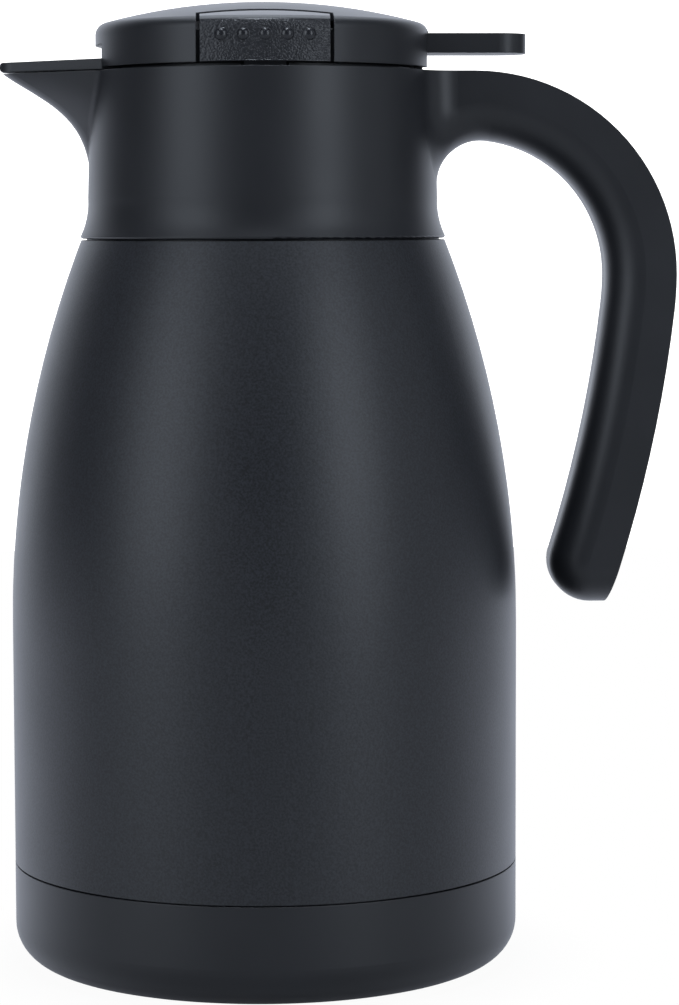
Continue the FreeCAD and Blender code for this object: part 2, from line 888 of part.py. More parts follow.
def make_lid_base():
    radius = skirt_radius - size("plate_fit")
    body = new_body("lid_base")
    raise_up(body, "plate", (), lid_low, plate_top, circles=[(ZERO, ZERO, radius)])
    ear_in = size("beam_half_width") + size("ear_gap")
    ear_out = ear_in + size("ear_thickness")
    ear = size("ear_half_length")
    ears = [rectangle(-ear, ear, ear_in, ear_out), rectangle(-ear, ear, -ear_out, -ear_in)]
    raise_up(body, "ears", ears, plate_top, plate_top + size("ear_height"))
    guide_in = size("shelf_half_width") + size("guide_gap")
    guide_out = guide_in + size("guide_thickness")
    start = size("guide_start")
    panel_inner = leg(size("lid_radius") - size("button_wall"), size("button_half_width"))
    end = panel_inner - size("button_travel") - size("shelf_clearance")
    ribs = []
    for x_low, x_high in ((guide_in, guide_out), (-guide_out, -guide_in)):
        ribs.append(rectangle(x_low, x_high, start, end))
        ribs.append(rectangle(x_low, x_high, -end, -start))
    raise_up(body, "guides", ribs, plate_top, plate_top + size("guide_height"))
    cup = size("spring_radius") + size("spring_fit")
    cup_low = lid_low - size("spring_cup_depth")
    place = size("spring_place")
    raise_up(body, "spring_cup", (), cup_low, plate_top, circles=[(place, ZERO, cup + size("spring_cup_wall"))])
    cup_floor = cup_low + size("spring_cup_wall")
    raise_up(body, "spring_bore", (), cup_floor, plate_top + overrun, cut=True, circles=[(place, ZERO, cup)])
    far = radius + overrun
    low = lid_low - overrun
    top = plate_top + overrun
    flap = size("flap_half_width") + size("lever_clearance")
    tab = size("tab_half_width") + size("lever_clearance")
    side = size("button_half_width") + size("button_side_gap")
    cuts = [
        rectangle(-far, -size("plate_opening_start"), -flap, flap),
        rectangle(size("plate_notch_start"), far, -tab, tab),
        rectangle(-side, side, end, far),
        rectangle(-side, side, -far, -end),
    ]
    raise_up(body, "openings", cuts, low, top, cut=True)
    holes = [(x, y, size("screw_radius") + size("screw_fit")) for x, y in boss_places()]
    raise_up(body, "screw_holes", (), low, top, cut=True, circles=holes)
    bore = size("pivot_radius") + size("pivot_fit")
    spread(body, "pin_bore", (), ear_out * 2 + overrun, cut=True, circles=[(ZERO, pivot_height, bore)])
    return body


def make_stopper():
    wall = size("stopper_wall")
    outer = size("stopper_radius")
    plug = size("plug_radius")
    plug_low = ledge_height - size("plug_depth")
    groove = plug - size("seal_groove_depth")
    seal_low = plug_low + size("seal_lift")
    seal_top = seal_low + size("seal_height")
    inner = outer - wall
    core = groove - wall
    body = new_body("stopper")
    revolve(body, "plug", [
        (core, plug_low),
        (plug, plug_low),
        (plug, seal_low),
        (groove, seal_low),
        (groove, seal_top),
        (plug, seal_top),
        (plug, ledge_height),
        (outer, ledge_height),
        (outer, lid_low),
        (inner, lid_low),
        (inner, deck_top),
        (ZERO, deck_top),
        (ZERO, deck_low),
        (core, deck_low),
    ])
    place = size("port_place")
    length = size("port_half_length")
    width = size("port_half_width")
    rim = size("port_rim")
    lip = rectangle(-(place + length + rim), -(place - length - rim), -(width + rim), width + rim)
    raise_up(body, "port_lip", [lip], deck_top - wall * HALF, port_top)
    port = rectangle(-(place + length), -(place - length), -width, width)
    raise_up(body, "port", [port], deck_low - overrun, port_top + overrun, cut=True)
    gate = size("outflow_half_width")
    front = rectangle(-(outer + overrun), -(place + length + rim), -gate, gate)
    raise_up(body, "outflow", [front], deck_top, lid_low + overrun, cut=True)
    slit = size("latch_window_half_width")
    shy = inner - wall
    windows = [rectangle(-slit, slit, shy, outer + overrun), rectangle(-slit, slit, -(outer + overrun), -shy)]
    raise_up(body, "latch_windows", windows, lid_low - size("latch_window_height"), lid_low + overrun, cut=True)
    return body


def make_stopper_seal():
    low = ledge_height - size("plug_depth") + size("seal_lift")
    top = low + size("seal_height")
    inner = size("plug_radius") - size("seal_groove_depth")
    lip = liner_neck_radius - size("liner_wall") - size("seal_clearance")
    tuck = size("seal_height") * HALF
    body = new_body("stopper_seal")
    revolve(body, "ring", [
        (inner, low),
        (size("plug_radius"), low),
        (lip, low + tuck),
        (size("plug_radius"), top),
        (inner, top),
    ])
    return body


def make_lid_screws():
    shank_top = plate_top + size("screw_bite")
    head_low = lid_low - size("screw_head_height")
    screws = []
    for number, (x, y) in enumerate(boss_places()):
        shank = doc.addObject("Part::Cylinder", f"screw_shank_{number}")
        shank.setExpression("Radius", size("screw_radius").text)
        shank.setExpression("Height", (shank_top - lid_low).text)
        shank.setExpression("Placement.Base.z", lid_low.text)
        head = doc.addObject("Part::Cylinder", f"screw_head_{number}")
        head.setExpression("Radius", size("screw_head_radius").text)
        head.setExpression("Height", size("screw_head_height").text)
        head.setExpression("Placement.Base.z", head_low.text)
        for piece in (shank, head):
            piece.setExpression("Placement.Base.x", x.text)
            piece.setExpression("Placement.Base.y", y.text)
        screw = doc.addObject("Part::Fuse", f"screw_{number}")
        screw.Base = shank
        screw.Tool = head
        screws.append(screw)
    group = doc.addObject("Part::Compound", "lid_screws")
    group.Label = "lid_screws"
    group.Links = screws
    return group


def make_lever_pin():
    reach = size("beam_half_width") + size("ear_gap") + size("ear_thickness")
    body = new_body("lever_pin")
    spread(body, "pin", (), reach * 2, circles=[(ZERO, pivot_height, size("pivot_radius"))])
    return body


def make_lever_spring():
    place = size("spring_place")
    outer = size("spring_radius")
    low = lid_low - size("spring_cup_depth") + size("spring_cup_wall")
    high = lid_low + size("beam_rise")
    body = new_body("lever_spring")
    rings = [(place, ZERO, outer), (place, ZERO, outer - size("spring_wire"))]
    raise_up(body, "turns", (), low, high, circles=rings)
    return body


def make_push_spring(name, side):
    outer = size("push_spring_radius")
    height = lid_low + size("push_spring_rise")
    near = size("beam_half_width") + size("ear_gap") + size("ear_thickness")
    far = size("shelf_inner_edge")
    body = new_body(name)
    sketch = new_sketch(body, "XZ_Plane", "turns_outline", near * -side)
    add_circle(sketch, ZERO, height, outer)
    add_circle(sketch, ZERO, height, outer - size("push_spring_wire"))
    turns = body.newObject("PartDesign::Pad", "turns")
    turns.Profile = sketch
    turns.setExpression("Length", (far - near).text)
    turns.Reversed = side > 0
    doc.recompute()
    return body


def lever_side_outline():
    """The lever from the side: flap in front, beam over the pivot, thumb tab behind."""
    flap_low = collar_top + size("flap_lift")
    flap_top = flap_low + size("flap_thickness")
    tip_low = flap_low - size("spout_rim_drop")
    tip_top = tip_low + size("flap_tip_thickness")
    tip = size("flap_tip_round")
    reach = size("flap_reach")
    root = size("flap_root")
    pad = size("pad_half_length")
    place = size("port_place")
    pad_top = port_top + size("pad_thickness")
    waist = size("neck_of_beam")
    beam_low = lid_low + size("beam_rise")
    tab_low = lid_low + size("tab_rise")
    tab_top = tab_low + size("tab_thickness")
    tab_root = size("tab_root")
    barrel = size("barrel_radius")
    return [
        (size("tab_reach"), tab_low),
        (size("tab_reach"), tab_top),
        (-barrel, tab_top),
        (-waist, tab_top),
        (-root, flap_top),
        (-(reach - tip), tip_top, tip),
        (-(reach - tip), tip_low),
        (-root, flap_low),
        (-(place + pad), flap_low),
        (-(place + pad), pad_top),
        (-(place - pad), pad_top),
        (-(place - pad), flap_low),
        (-waist, pivot_height - barrel),
        (barrel, pivot_height - barrel),
        (waist, beam_low),
        (tab_root, beam_low),
        (tab_root, tab_low),
    ]


def lever_plan_outline():
    """The lever from above, a little past both ends of its side outline."""
    reach = size("flap_reach")
    nose = size("flap_nose_radius")
    flap = size("flap_half_width")
    root = skirt_radius
    waist = size("neck_of_beam")
    beam = size("beam_half_width")
    tab = size("tab_half_width")
    tab_root = size("tab_root")
    corner = size("tab_corner_radius")
    end = size("tab_reach")
    centre = reach - nose
    run = centre - root
    span = run * run + flap * flap
    tangent = (span - nose * nose).root()
    touch_x = (nose * nose * run - nose * tangent * flap) / span - centre
    touch_y = (nose * nose * flap + nose * tangent * run) / span
    return [
        (touch_x, touch_y, nose),
        (touch_x, -touch_y),
        (-root, -flap),
        (-(size("port_place") - size("pad_half_length")), -flap),
        (-waist, -beam),
        (tab_root, -beam),
        (tab_root, -tab),
        (end - corner, -tab, corner),
        (end, corner - tab),
        (end, tab - corner, corner),
        (end - corner, tab),
        (tab_root, tab),
        (tab_root, beam),
        (-waist, beam),
        (-(size("port_place") - size("pad_half_length")), flap),
        (-root, flap),
    ]


def make_pour_lever():
    flap = size("flap_half_width")
    far = size("tab_reach") + overrun
    wide = flap + overrun
    low = port_top
    high = lid_top
    body = new_body("pour_lever")
    spread(body, "side", [lever_side_outline()], flap * 2)
    frame = rectangle(-(size("flap_reach") + overrun), far, -wide, wide)
    sketch = new_sketch(body, "XY_Plane", "plan_outline", low)
    add_loop(sketch, frame)
    add_loop(sketch, lever_plan_outline())
    trim = body.newObject("PartDesign::Pocket", "plan")
    trim.Profile = sketch
    trim.setExpression("Length", (high - low).text)
    trim.Reversed = True
    doc.recompute()
    tab_low = lid_low + size("tab_rise")
    stop = size("stop_place")
    half = size("stop_half_width")
    lug = rectangle(stop, stop + size("stop_thickness"), -half, half)
    raise_up(body, "stop_lug", [lug], tab_low - size("stop_drop"), tab_low + overrun)
    barrel = [(ZERO, pivot_height, size("barrel_radius"))]
    spread(body, "barrel", (), size("beam_half_width") * 2, circles=barrel)
    bore = size("pivot_radius") + size("pivot_fit")
    spread(body, "pin_bore", (), wide * 2, cut=True, circles=[(ZERO, pivot_height, bore)])
    return body


def make_pour_seal():
    place = size("port_place")
    half = size("pad_half_length")
    width = size("pad_half_width")
    body = new_body("pour_seal")
    pad = rectangle(-(place + half), -(place - half), -width, width)
    raise_up(body, "pad", [pad], port_top, port_top + size("pad_thickness"))
    return body


def make_release_button(name, side):
    """A squeeze button: panel that follows the lid, shelf with spring seat, latch."""
    wall = size("button_wall")
    low = lid_low + size("button_foot_gap")
    outer = [(size("lid_radius"), low)] + dome_points(ZERO)
    inner = [(size("lid_radius") - wall, low)] + dome_points(wall)
    ring = outer + turned_back(inner)
    points = [(p[0] * side,) + tuple(p[1:2]) + tuple(b * side for b in p[2:]) for p in ring]
    half = size("button_half_width")
    edge = size("button_inner_edge")
    far = size("lid_radius") + overrun
    body = new_body(name)
    revolve(body, "panel", points, role="YZ_Plane", sweep=PANEL_SWEEP)

    def block(x_half, y_low, y_high):
        if side > 0:
            return rectangle(-x_half, x_half, y_low, y_high)
        return rectangle(-x_half, x_half, -y_high, -y_low)

    wide = far + overrun
    trims = [block(wide, -far, edge)]
    for x_low, x_high in ((half, wide), (-wide, -half)):
        y_low, y_high = (edge, far) if side > 0 else (-far, -edge)
        trims.append(rectangle(x_low, x_high, y_low, y_high))
    raise_up(body, "panel_trim", trims, low - overrun, lid_top + overrun, cut=True)
    shelf_low = plate_top + size("shelf_clearance")
    shelf_top = shelf_low + size("shelf_thickness")
    shelf_in = size("shelf_inner_edge")
    reach = leg(size("lid_radius") - wall * HALF, size("shelf_half_width"))
    raise_up(body, "shelf", [block(size("shelf_half_width"), shelf_in, reach)], shelf_low, shelf_top)
    seat = block(size("shelf_seat_half_width"), shelf_in, shelf_in + size("shelf_seat_thickness"))
    raise_up(body, "spring_seat", [seat], shelf_low, shelf_low + size("shelf_seat_height"))
    latch_in = size("latch_inner")
    latch_out = latch_in + size("latch_thickness")
    latch_low = lid_low - size("latch_drop")
    tongue = block(size("latch_half_width"), latch_in, latch_out)
    raise_up(body, "latch", [tongue], latch_low, shelf_low + wall * HALF)
    nose = block(size("latch_half_width"), latch_in, latch_out + size("latch_nose"))
    raise_up(body, "latch_nose", [nose], latch_low, latch_low + size("latch_nose_height"))
    for number in range(DOT_COUNT):
        across = size("dot_pitch") * (number - (DOT_COUNT - 1) * HALF)
        depth = leg(size("lid_radius") - size("dot_sink"), across)
        dot = body.newObject("PartDesign::AdditiveSphere", f"dot_{number}")
        dot.setExpression("Radius", size("dot_radius").text)
        dot.setExpression("Placement.Base.x", across.text)
        dot.setExpression("Placement.Base.y", (depth * side).text)
        dot.setExpression("Placement.Base.z", (lid_low + size("dot_rise")).text)
        doc.recompute()
    return body


# Angle of the turned ring that a button panel is trimmed from, in degrees
PANEL_SWEEP = 80.0

PIECES = [
    make_outer_shell(),
    make_liner_floor(),
    make_inner_liner(),
    make_liner_neck(),
    make_vacuum_bottom(),
    make_getter(),
    make_base_cup(),
    make_neck_gasket(),
    make_collar(),
    make_handle_cover(),
    make_lid_cover(),
    make_lid_base(),
    make_stopper(),
    make_stopper_seal(),
    make_lid_screws(),
    make_lever_pin(),
    make_lever_spring(),
    make_push_spring("button_spring_near", -1),
    make_push_spring("button_spring_far", 1),
    make_pour_lever(),
    make_pour_seal(),
    make_release_button("release_button_near", -1),
    make_release_button("release_button_far", 1),
]
doc.recompute()

for item in doc.Objects:
    if "Invalid" in item.State or "Error" in item.State:
        raise RuntimeError(f"{item.Name} failed: {item.State}")
for piece in PIECES:
    if piece.Shape.isNull() or not piece.Shape.isValid():
        raise RuntimeError(f"{piece.Label} has no valid shape")

os.makedirs("parts", exist_ok=True)
for piece in PIECES:
    piece.Shape.exportStep(f"parts/{piece.Label}.step")
    print(piece.Label, len(piece.Shape.Solids), round(piece.Shape.Volume, 1))
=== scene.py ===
"""Looks of a matte black vacuum carafe on a white studio floor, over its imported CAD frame."""

import logging
import math
from dataclasses import dataclass, field
from enum import Enum

import bmesh
import bpy
from mathutils import Matrix, Vector


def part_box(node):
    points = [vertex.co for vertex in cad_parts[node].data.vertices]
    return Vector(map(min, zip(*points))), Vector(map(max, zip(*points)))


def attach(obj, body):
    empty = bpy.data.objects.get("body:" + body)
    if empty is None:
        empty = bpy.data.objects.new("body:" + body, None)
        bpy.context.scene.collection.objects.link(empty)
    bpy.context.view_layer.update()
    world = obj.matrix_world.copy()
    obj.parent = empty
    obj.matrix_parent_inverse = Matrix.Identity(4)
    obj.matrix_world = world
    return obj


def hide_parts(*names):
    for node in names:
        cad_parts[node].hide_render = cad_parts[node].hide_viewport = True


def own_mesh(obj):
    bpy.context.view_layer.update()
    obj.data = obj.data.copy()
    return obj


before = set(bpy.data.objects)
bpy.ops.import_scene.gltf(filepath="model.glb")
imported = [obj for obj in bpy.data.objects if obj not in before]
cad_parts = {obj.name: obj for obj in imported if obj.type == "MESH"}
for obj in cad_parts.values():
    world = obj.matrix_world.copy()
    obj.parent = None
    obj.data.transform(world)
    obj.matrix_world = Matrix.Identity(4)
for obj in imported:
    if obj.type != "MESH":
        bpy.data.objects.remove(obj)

LOG = logging.getLogger("carafe")
MM = 0.001
WHITE = "#ffffff"
# A Mix node has sockets for several kinds of value: these are its two colours and their blend.
MIX_FIRST, MIX_SECOND, MIX_BLEND = 6, 7, 2


class Axis(Enum):
    """Axes of the part, as the name of a coordinate's output socket."""

    X = "X"
    Y = "Y"
    Z = "Z"

    def unit(self) -> Vector:
        """One metre along the axis."""
        return Vector([float(self.value == name) for name in "XYZ"])


class Seat(Enum):
    """The end of a spring that rests on the lid, as a sign along the spring's axis."""

    LOW = -1
    HIGH = 1


def linear(hex_code: str) -> tuple[float, float, float, float]:
    """Turn an sRGB hex colour into linear light.

    Args:
        hex_code: six hex digits, with or without a leading hash.

    Returns:
        Red, green and blue in linear light, and an alpha of 1.
    """
    digits = hex_code.lstrip("#")
    channels = []
    for start in (0, 2, 4):
        level = int(digits[start:start + 2], 16) / 255
        channels.append(level / 12.92 if level <= 0.04045 else ((level + 0.055) / 1.055) ** 2.4)
    return channels[0], channels[1], channels[2], 1.0


def per_metre(size_mm: float) -> float:
    """Texture scale that gives features of a real size in millimetres."""
    return 1 / (size_mm * MM)


def add_node(
    tree: bpy.types.NodeTree,
    kind: str,
    settings: dict[str | int, object] | None = None,
    links: dict[str | int, bpy.types.NodeSocket] | None = None,
) -> bpy.types.Node:
    """Add a shader node with its settings and its incoming links.

    Args:
        tree: node tree to add to.
        kind: Blender's type name of the node.
        settings: attribute names, socket names or socket numbers, with their values.
        links: socket names or socket numbers, with the output socket that feeds each.

    Returns:
        The new node.
    """
    node = tree.nodes.new(kind)
    for key, value in (settings or {}).items():
        if isinstance(key, int) or key in node.inputs:
            node.inputs[key].default_value = value
        else:
            setattr(node, key, value)
    for key, source in (links or {}).items():
        tree.links.new(source, node.inputs[key])
    return node


def blank_material(name: str) -> tuple[bpy.types.Material, bpy.types.NodeTree]:
    """Make an empty node material.

    Args:
        name: name of the material.

    Returns:
        The material and its cleared node tree.
    """
    material = bpy.data.materials.new(name)
    material.use_nodes = True
    tree = material.node_tree
    tree.nodes.clear()
    return material, tree


def shade(
    tree: bpy.types.NodeTree,
    tones: tuple[str, str],
    pattern: bpy.types.NodeSocket,
    optics: dict[str | int, object],
    links: dict[str | int, bpy.types.NodeSocket],
) -> None:
    """Close a material with a shader whose colour runs between two tones.

    Args:
        tree: node tree to add to.
        tones: hex colours where the pattern is 0 and where it is 1.
        pattern: the signal that the colour follows.
        optics: values that are the same all over the surface, such as the IOR.
        links: what else feeds the shader, such as its roughness and normal.
    """
    colour = add_node(
        tree,
        "ShaderNodeMix",
        {"data_type": "RGBA", MIX_FIRST: linear(tones[0]), MIX_SECOND: linear(tones[1])},
        {"Factor": pattern},
    ).outputs[MIX_BLEND]
    shader = add_node(tree, "ShaderNodeBsdfPrincipled", optics, {"Base Color": colour, **links})
    add_node(tree, "ShaderNodeOutputMaterial", links={"Surface": shader.outputs["BSDF"]})


@dataclass(frozen=True)
class PowderCoatedSteel:
    """Sheet steel under a fine matte powder coat.

    Sprayed powder melts into a tight orange-peel skin: an even near-black with a faint bluish
    cast, soft wide highlights and a fine speckle in them. The speckle is a painted glint: the
    colour is lighter where the grit stands high and darker in its hollows.
    """

    name: str = "powder_coated_steel"
    # The light tone is a painted glint on the raised grit, and the dark tone is painted shade in its
    # hollows.
    dark: str = "#121316"
    light: str = "#24262b"
    grit_mm: float = 0.5
    grit_layers: float = 3.0
    grit_band: tuple[float, float] = (0.36, 0.64)
    grit_depth_mm: float = 0.045
    grit_bump: float = 0.5
    cloud_mm: float = 26.0
    cloud_layers: float = 2.0
    roughness_low: float = 0.39
    roughness_high: float = 0.46
    ior: float = 1.5

    def build(self) -> bpy.types.Material:
        """Build the coat's nodes.

        Returns:
            The finished material.
        """
        material, tree = blank_material(self.name)
        place = add_node(tree, "ShaderNodeTexCoord").outputs["Object"]
        # Real powder is finer than a pixel, so the grit is drawn coarse enough to show.
        grit = add_node(
            tree,
            "ShaderNodeTexNoise",
            {"Scale": per_metre(self.grit_mm), "Detail": self.grit_layers},
            {"Vector": place},
        ).outputs["Fac"]
        cloud = add_node(
            tree,
            "ShaderNodeTexNoise",
            {"Scale": per_metre(self.cloud_mm), "Detail": self.cloud_layers},
            {"Vector": place},
        ).outputs["Fac"]
        # Noise keeps near its middle, so the specks are cut from a narrow band of it.
        painted_glint = add_node(
            tree,
            "ShaderNodeMapRange",
            {"From Min": self.grit_band[0], "From Max": self.grit_band[1]},
            {"Value": grit},
        ).outputs["Result"]
        rough = add_node(
            tree,
            "ShaderNodeMapRange",
            {"To Min": self.roughness_low, "To Max": self.roughness_high},
            {"Value": cloud},
        ).outputs["Result"]
        skin = add_node(
            tree,
            "ShaderNodeBump",
            {"Strength": self.grit_bump, "Distance": self.grit_depth_mm * MM},
            {"Height": grit},
        ).outputs["Normal"]
        # Painted glint: the colour is lighter on the raised grit and darker in its hollows.
        shade(
            tree, (self.dark, self.light), painted_glint, {"IOR": self.ior}, {"Roughness": rough, "Normal": skin}
        )
        return material


@dataclass(frozen=True)
class MouldedPlastic:
    """Injection-moulded polypropylene from a finely blasted mould.

    The mould's blast leaves a silky skin: deep charcoal, broad even highlights and a thin bright
    line wherever an edge turns towards the light.
    """

    name: str = "moulded_polypropylene"
    dark: str = "#16171a"
    light: str = "#1d1e22"
    grain_mm: float = 0.5
    grain_layers: float = 2.0
    grain_depth_mm: float = 0.02
    grain_bump: float = 0.3
    flow_mm: float = 18.0
    flow_layers: float = 2.0
    edge_mm: float = 0.35
    edge_samples: int = 6
    roughness_low: float = 0.39
    roughness_high: float = 0.46
    ior: float = 1.49

    def build(self) -> bpy.types.Material:
        """Build the plastic's nodes.

        Returns:
            The finished material.
        """
        material, tree = blank_material(self.name)
        place = add_node(tree, "ShaderNodeTexCoord").outputs["Object"]
        # Real blast marks are finer than a pixel, so they are drawn coarse enough to show.
        grain = add_node(
            tree,
            "ShaderNodeTexNoise",
            {"Scale": per_metre(self.grain_mm), "Detail": self.grain_layers},
            {"Vector": place},
        ).outputs["Fac"]
        flow = add_node(
            tree,
            "ShaderNodeTexNoise",
            {"Scale": per_metre(self.flow_mm), "Detail": self.flow_layers},
            {"Vector": place},
        ).outputs["Fac"]
        rough = add_node(
            tree,
            "ShaderNodeMapRange",
            {"To Min": self.roughness_low, "To Max": self.roughness_high},
            {"Value": flow},
        ).outputs["Result"]
        # Mould edges are never knife-sharp: a small turned edge catches a thin line of light.
        edge = add_node(
            tree, "ShaderNodeBevel", {"samples": self.edge_samples, "Radius": self.edge_mm * MM}
        ).outputs["Normal"]
        skin = add_node(
            tree,
            "ShaderNodeBump",
            {"Strength": self.grain_bump, "Distance": self.grain_depth_mm * MM},
            {"Height": grain, "Normal": edge},
        ).outputs["Normal"]
        shade(
            tree, (self.dark, self.light), flow, {"IOR": self.ior}, {"Roughness": rough, "Normal": skin}
        )
        return material


@dataclass(frozen=True)
class SparkErodedPlastic:
    """Moulded polypropylene whose mould was spark-eroded below a polished lip.

    The eroded part is a coarse even pebble that scatters light in points. Its colour is painted
    lighter on each pebble's crown and darker between the crowns, a painted highlight and painted
    shade that run over the lip and dots too. The lip above it and the five finger dots are
    smooth: the lip catches the overhead light as one clean band, and each dot as a small bright
    spot on its upper side.
    """

    name: str = "spark_eroded_polypropylene"
    # The light tone is a painted highlight on the pebble crowns, and the dark tone is painted shade between
    # them.
    dark: str = "#121315"
    light: str = "#24252a"
    pebble_mm: float = 0.44
    pebble_depth_mm: float = 0.2
    pebble_bump: float = 1.0
    lip_height_mm: float = 231.9
    lip_blend_mm: float = 0.5
    foot_height_mm: float = 222.6
    foot_blend_mm: float = 0.12
    dot_pitch_mm: float = 5.14
    dot_height_mm: float = 228.7
    dot_radius_mm: float = 1.5
    dot_blend_mm: float = 0.12
    dots_each_side: int = 2
    roughness_pebble: float = 0.37
    roughness_lip: float = 0.33
    roughness_dot: float = 0.26
    ior: float = 1.49

    def reach_of_dot(
        self, tree: bpy.types.NodeTree, across: bpy.types.NodeSocket, height: bpy.types.NodeSocket
    ) -> bpy.types.NodeSocket:
        """Measure how far the surface lies from the middle of the nearest dot.

        Args:
            tree: node tree to add to.
            across: place along the row of dots.
            height: height above the floor.

        Returns:
            The distance's socket, in metres.
        """
        pitch = self.dot_pitch_mm * MM
        row_end = pitch * self.dots_each_side
        shifted = add_node(tree, "ShaderNodeMath", {"operation": "ADD", 1: pitch / 2}, {0: across})
        nearest = add_node(
            tree, "ShaderNodeMath", {"operation": "SNAP", 1: pitch}, {0: shifted.outputs["Value"]}
        )
        kept = add_node(
            tree, "ShaderNodeClamp", {"Min": -row_end, "Max": row_end}, {"Value": nearest.outputs["Value"]}
        )
        aside = add_node(
            tree, "ShaderNodeMath", {"operation": "SUBTRACT"}, {0: across, 1: kept.outputs["Result"]}
        )
        above = add_node(
            tree, "ShaderNodeMath", {"operation": "SUBTRACT", 1: self.dot_height_mm * MM}, {0: height}
        )
        away = add_node(
            tree, "ShaderNodeCombineXYZ", links={"X": aside.outputs["Value"], "Z": above.outputs["Value"]}
        )
        reach = add_node(tree, "ShaderNodeVectorMath", {"operation": "LENGTH"}, {0: away.outputs["Vector"]})
        return reach.outputs["Value"]

    def build(self) -> bpy.types.Material:
        """Build the textured face, its smooth lip and foot, and its dots.

        Returns:
            The finished material.
        """
        material, tree = blank_material(self.name)
        place = add_node(tree, "ShaderNodeTexCoord").outputs["Object"]
        split = add_node(tree, "ShaderNodeSeparateXYZ", links={"Vector": place})
        height = split.outputs[Axis.Z.value]
        reach = self.reach_of_dot(tree, split.outputs[Axis.X.value], height)
        # Each mask falls from 1 to 0 as its measure passes an edge.
        masks = []
        for measure, edge_mm, blend_mm in (
            (height, self.lip_height_mm, self.lip_blend_mm),
            (height, self.foot_height_mm, self.foot_blend_mm),
            (reach, self.dot_radius_mm, self.dot_blend_mm),
        ):
            mask = add_node(
                tree,
                "ShaderNodeMapRange",
                {
                    "interpolation_type": "SMOOTHSTEP",
                    "From Min": (edge_mm - blend_mm) * MM,
                    "From Max": (edge_mm + blend_mm) * MM,
                    "To Min": 1.0,
                    "To Max": 0.0,
                },
                {"Value": measure},
            )
            masks.append(mask.outputs["Result"])
        below_lip, below_foot, dot = masks
        smooth = add_node(tree, "ShaderNodeMath", {"operation": "MAXIMUM"}, {0: below_foot, 1: dot})
        face = add_node(
            tree,
            "ShaderNodeMath",
            {"operation": "SUBTRACT", "use_clamp": True},
            {0: below_lip, 1: smooth.outputs["Value"]},
        ).outputs["Value"]
        pebble = add_node(
            tree,
            "ShaderNodeTexVoronoi",
            {"Scale": per_metre(self.pebble_mm), "feature": "SMOOTH_F1"},
            {"Vector": place},
        ).outputs["Distance"]
        relief = add_node(tree, "ShaderNodeMath", {"operation": "MULTIPLY"}, {0: pebble, 1: face})
        plain = add_node(
            tree,
            "ShaderNodeMapRange",
            {"To Min": self.roughness_lip, "To Max": self.roughness_pebble},
            {"Value": face},
        )
        polish = add_node(
            tree,
            "ShaderNodeMapRange",
            {"To Min": 1.0, "To Max": self.roughness_dot / self.roughness_lip},
            {"Value": dot},
        )
        rough = add_node(
            tree,
            "ShaderNodeMath",
            {"operation": "MULTIPLY"},
            {0: plain.outputs["Result"], 1: polish.outputs["Result"]},
        ).outputs["Value"]
        # The pattern is a distance from each pebble's crown, so the relief is turned over.
        skin = add_node(
            tree,
            "ShaderNodeBump",
            {"Strength": self.pebble_bump, "Distance": self.pebble_depth_mm * MM, "invert": True},
            {"Height": relief.outputs["Value"]},
        ).outputs["Normal"]
        # Painted highlight and shade: the colour is lighter at each pebble's crown and darker between the
        # crowns.
        shade(
            tree, (self.light, self.dark), pebble, {"IOR": self.ior}, {"Roughness": rough, "Normal": skin}
        )
        return material


@dataclass(frozen=True)
class MottledFinish:
    """Base of the finishes whose tone and roughness follow one cloudy pattern."""

    name: str
    dark: str
    light: str
    mottle_mm: float
    mottle_layers: float
    roughness_low: float
    roughness_high: float
    optics: tuple[str, float]
    stretch: float = 1.0

    def build(self) -> bpy.types.Material:
        """Build the pattern, drawn out level by the stretch, and its shader.

        Returns:
            The finished material.
        """
        material, tree = blank_material(self.name)
        place = add_node(tree, "ShaderNodeTexCoord").outputs["Object"]
        scale = per_metre(self.mottle_mm)
        level = scale / self.stretch
        drawn = add_node(tree, "ShaderNodeMapping", {"Scale": (level, level, scale)}, {"Vector": place})
        mottle = add_node(
            tree,
            "ShaderNodeTexNoise",
            {"Scale": 1.0, "Detail": self.mottle_layers},
            {"Vector": drawn.outputs["Vector"]},
        ).outputs["Fac"]
        rough = add_node(
            tree,
            "ShaderNodeMapRange",
            {"To Min": self.roughness_low, "To Max": self.roughness_high},
            {"Value": mottle},
        ).outputs["Result"]
        shade(tree, (self.dark, self.light), mottle, dict([self.optics]), {"Roughness": rough})
        return material


@dataclass(frozen=True)
class StainlessSteel(MottledFinish):
    """Drawn and satin-brushed stainless steel.

    Fine marks run round the flask, so highlights stretch along its height and stay crisp across.
    """

    name: str = "satin_stainless_steel"
    dark: str = "#b4b1ab"
    light: str = "#cfccc6"
    mottle_mm: float = 0.4
    mottle_layers: float = 3.0
    roughness_low: float = 0.24
    roughness_high: float = 0.36
    optics: tuple[str, float] = ("Metallic", 1.0)
    stretch: float = 30.0


@dataclass(frozen=True)
class SpringWire(MottledFinish):
    """Cold-drawn stainless spring wire, wound and stress-relieved.

    Heat leaves a faint straw tint over the bright wire, in patches along its length.
    """

    name: str = "drawn_spring_wire"
    dark: str = "#9d968a"
    light: str = "#c9c5bd"
    mottle_mm: float = 1.6
    mottle_layers: float = 2.0
    roughness_low: float = 0.22
    roughness_high: float = 0.34
    optics: tuple[str, float] = ("Metallic", 1.0)


@dataclass(frozen=True)
class MouldedSilicone(MottledFinish):
    """Compression-moulded silicone rubber.

    A dull, slightly dusty dark grey with no clear highlight.
    """

    name: str = "moulded_silicone"
    dark: str = "#303133"
    light: str = "#3d3e41"
    mottle_mm: float = 1.2
    mottle_layers: float = 4.0
    roughness_low: float = 0.56
    roughness_high: float = 0.68
    optics: tuple[str, float] = ("IOR", 1.41)


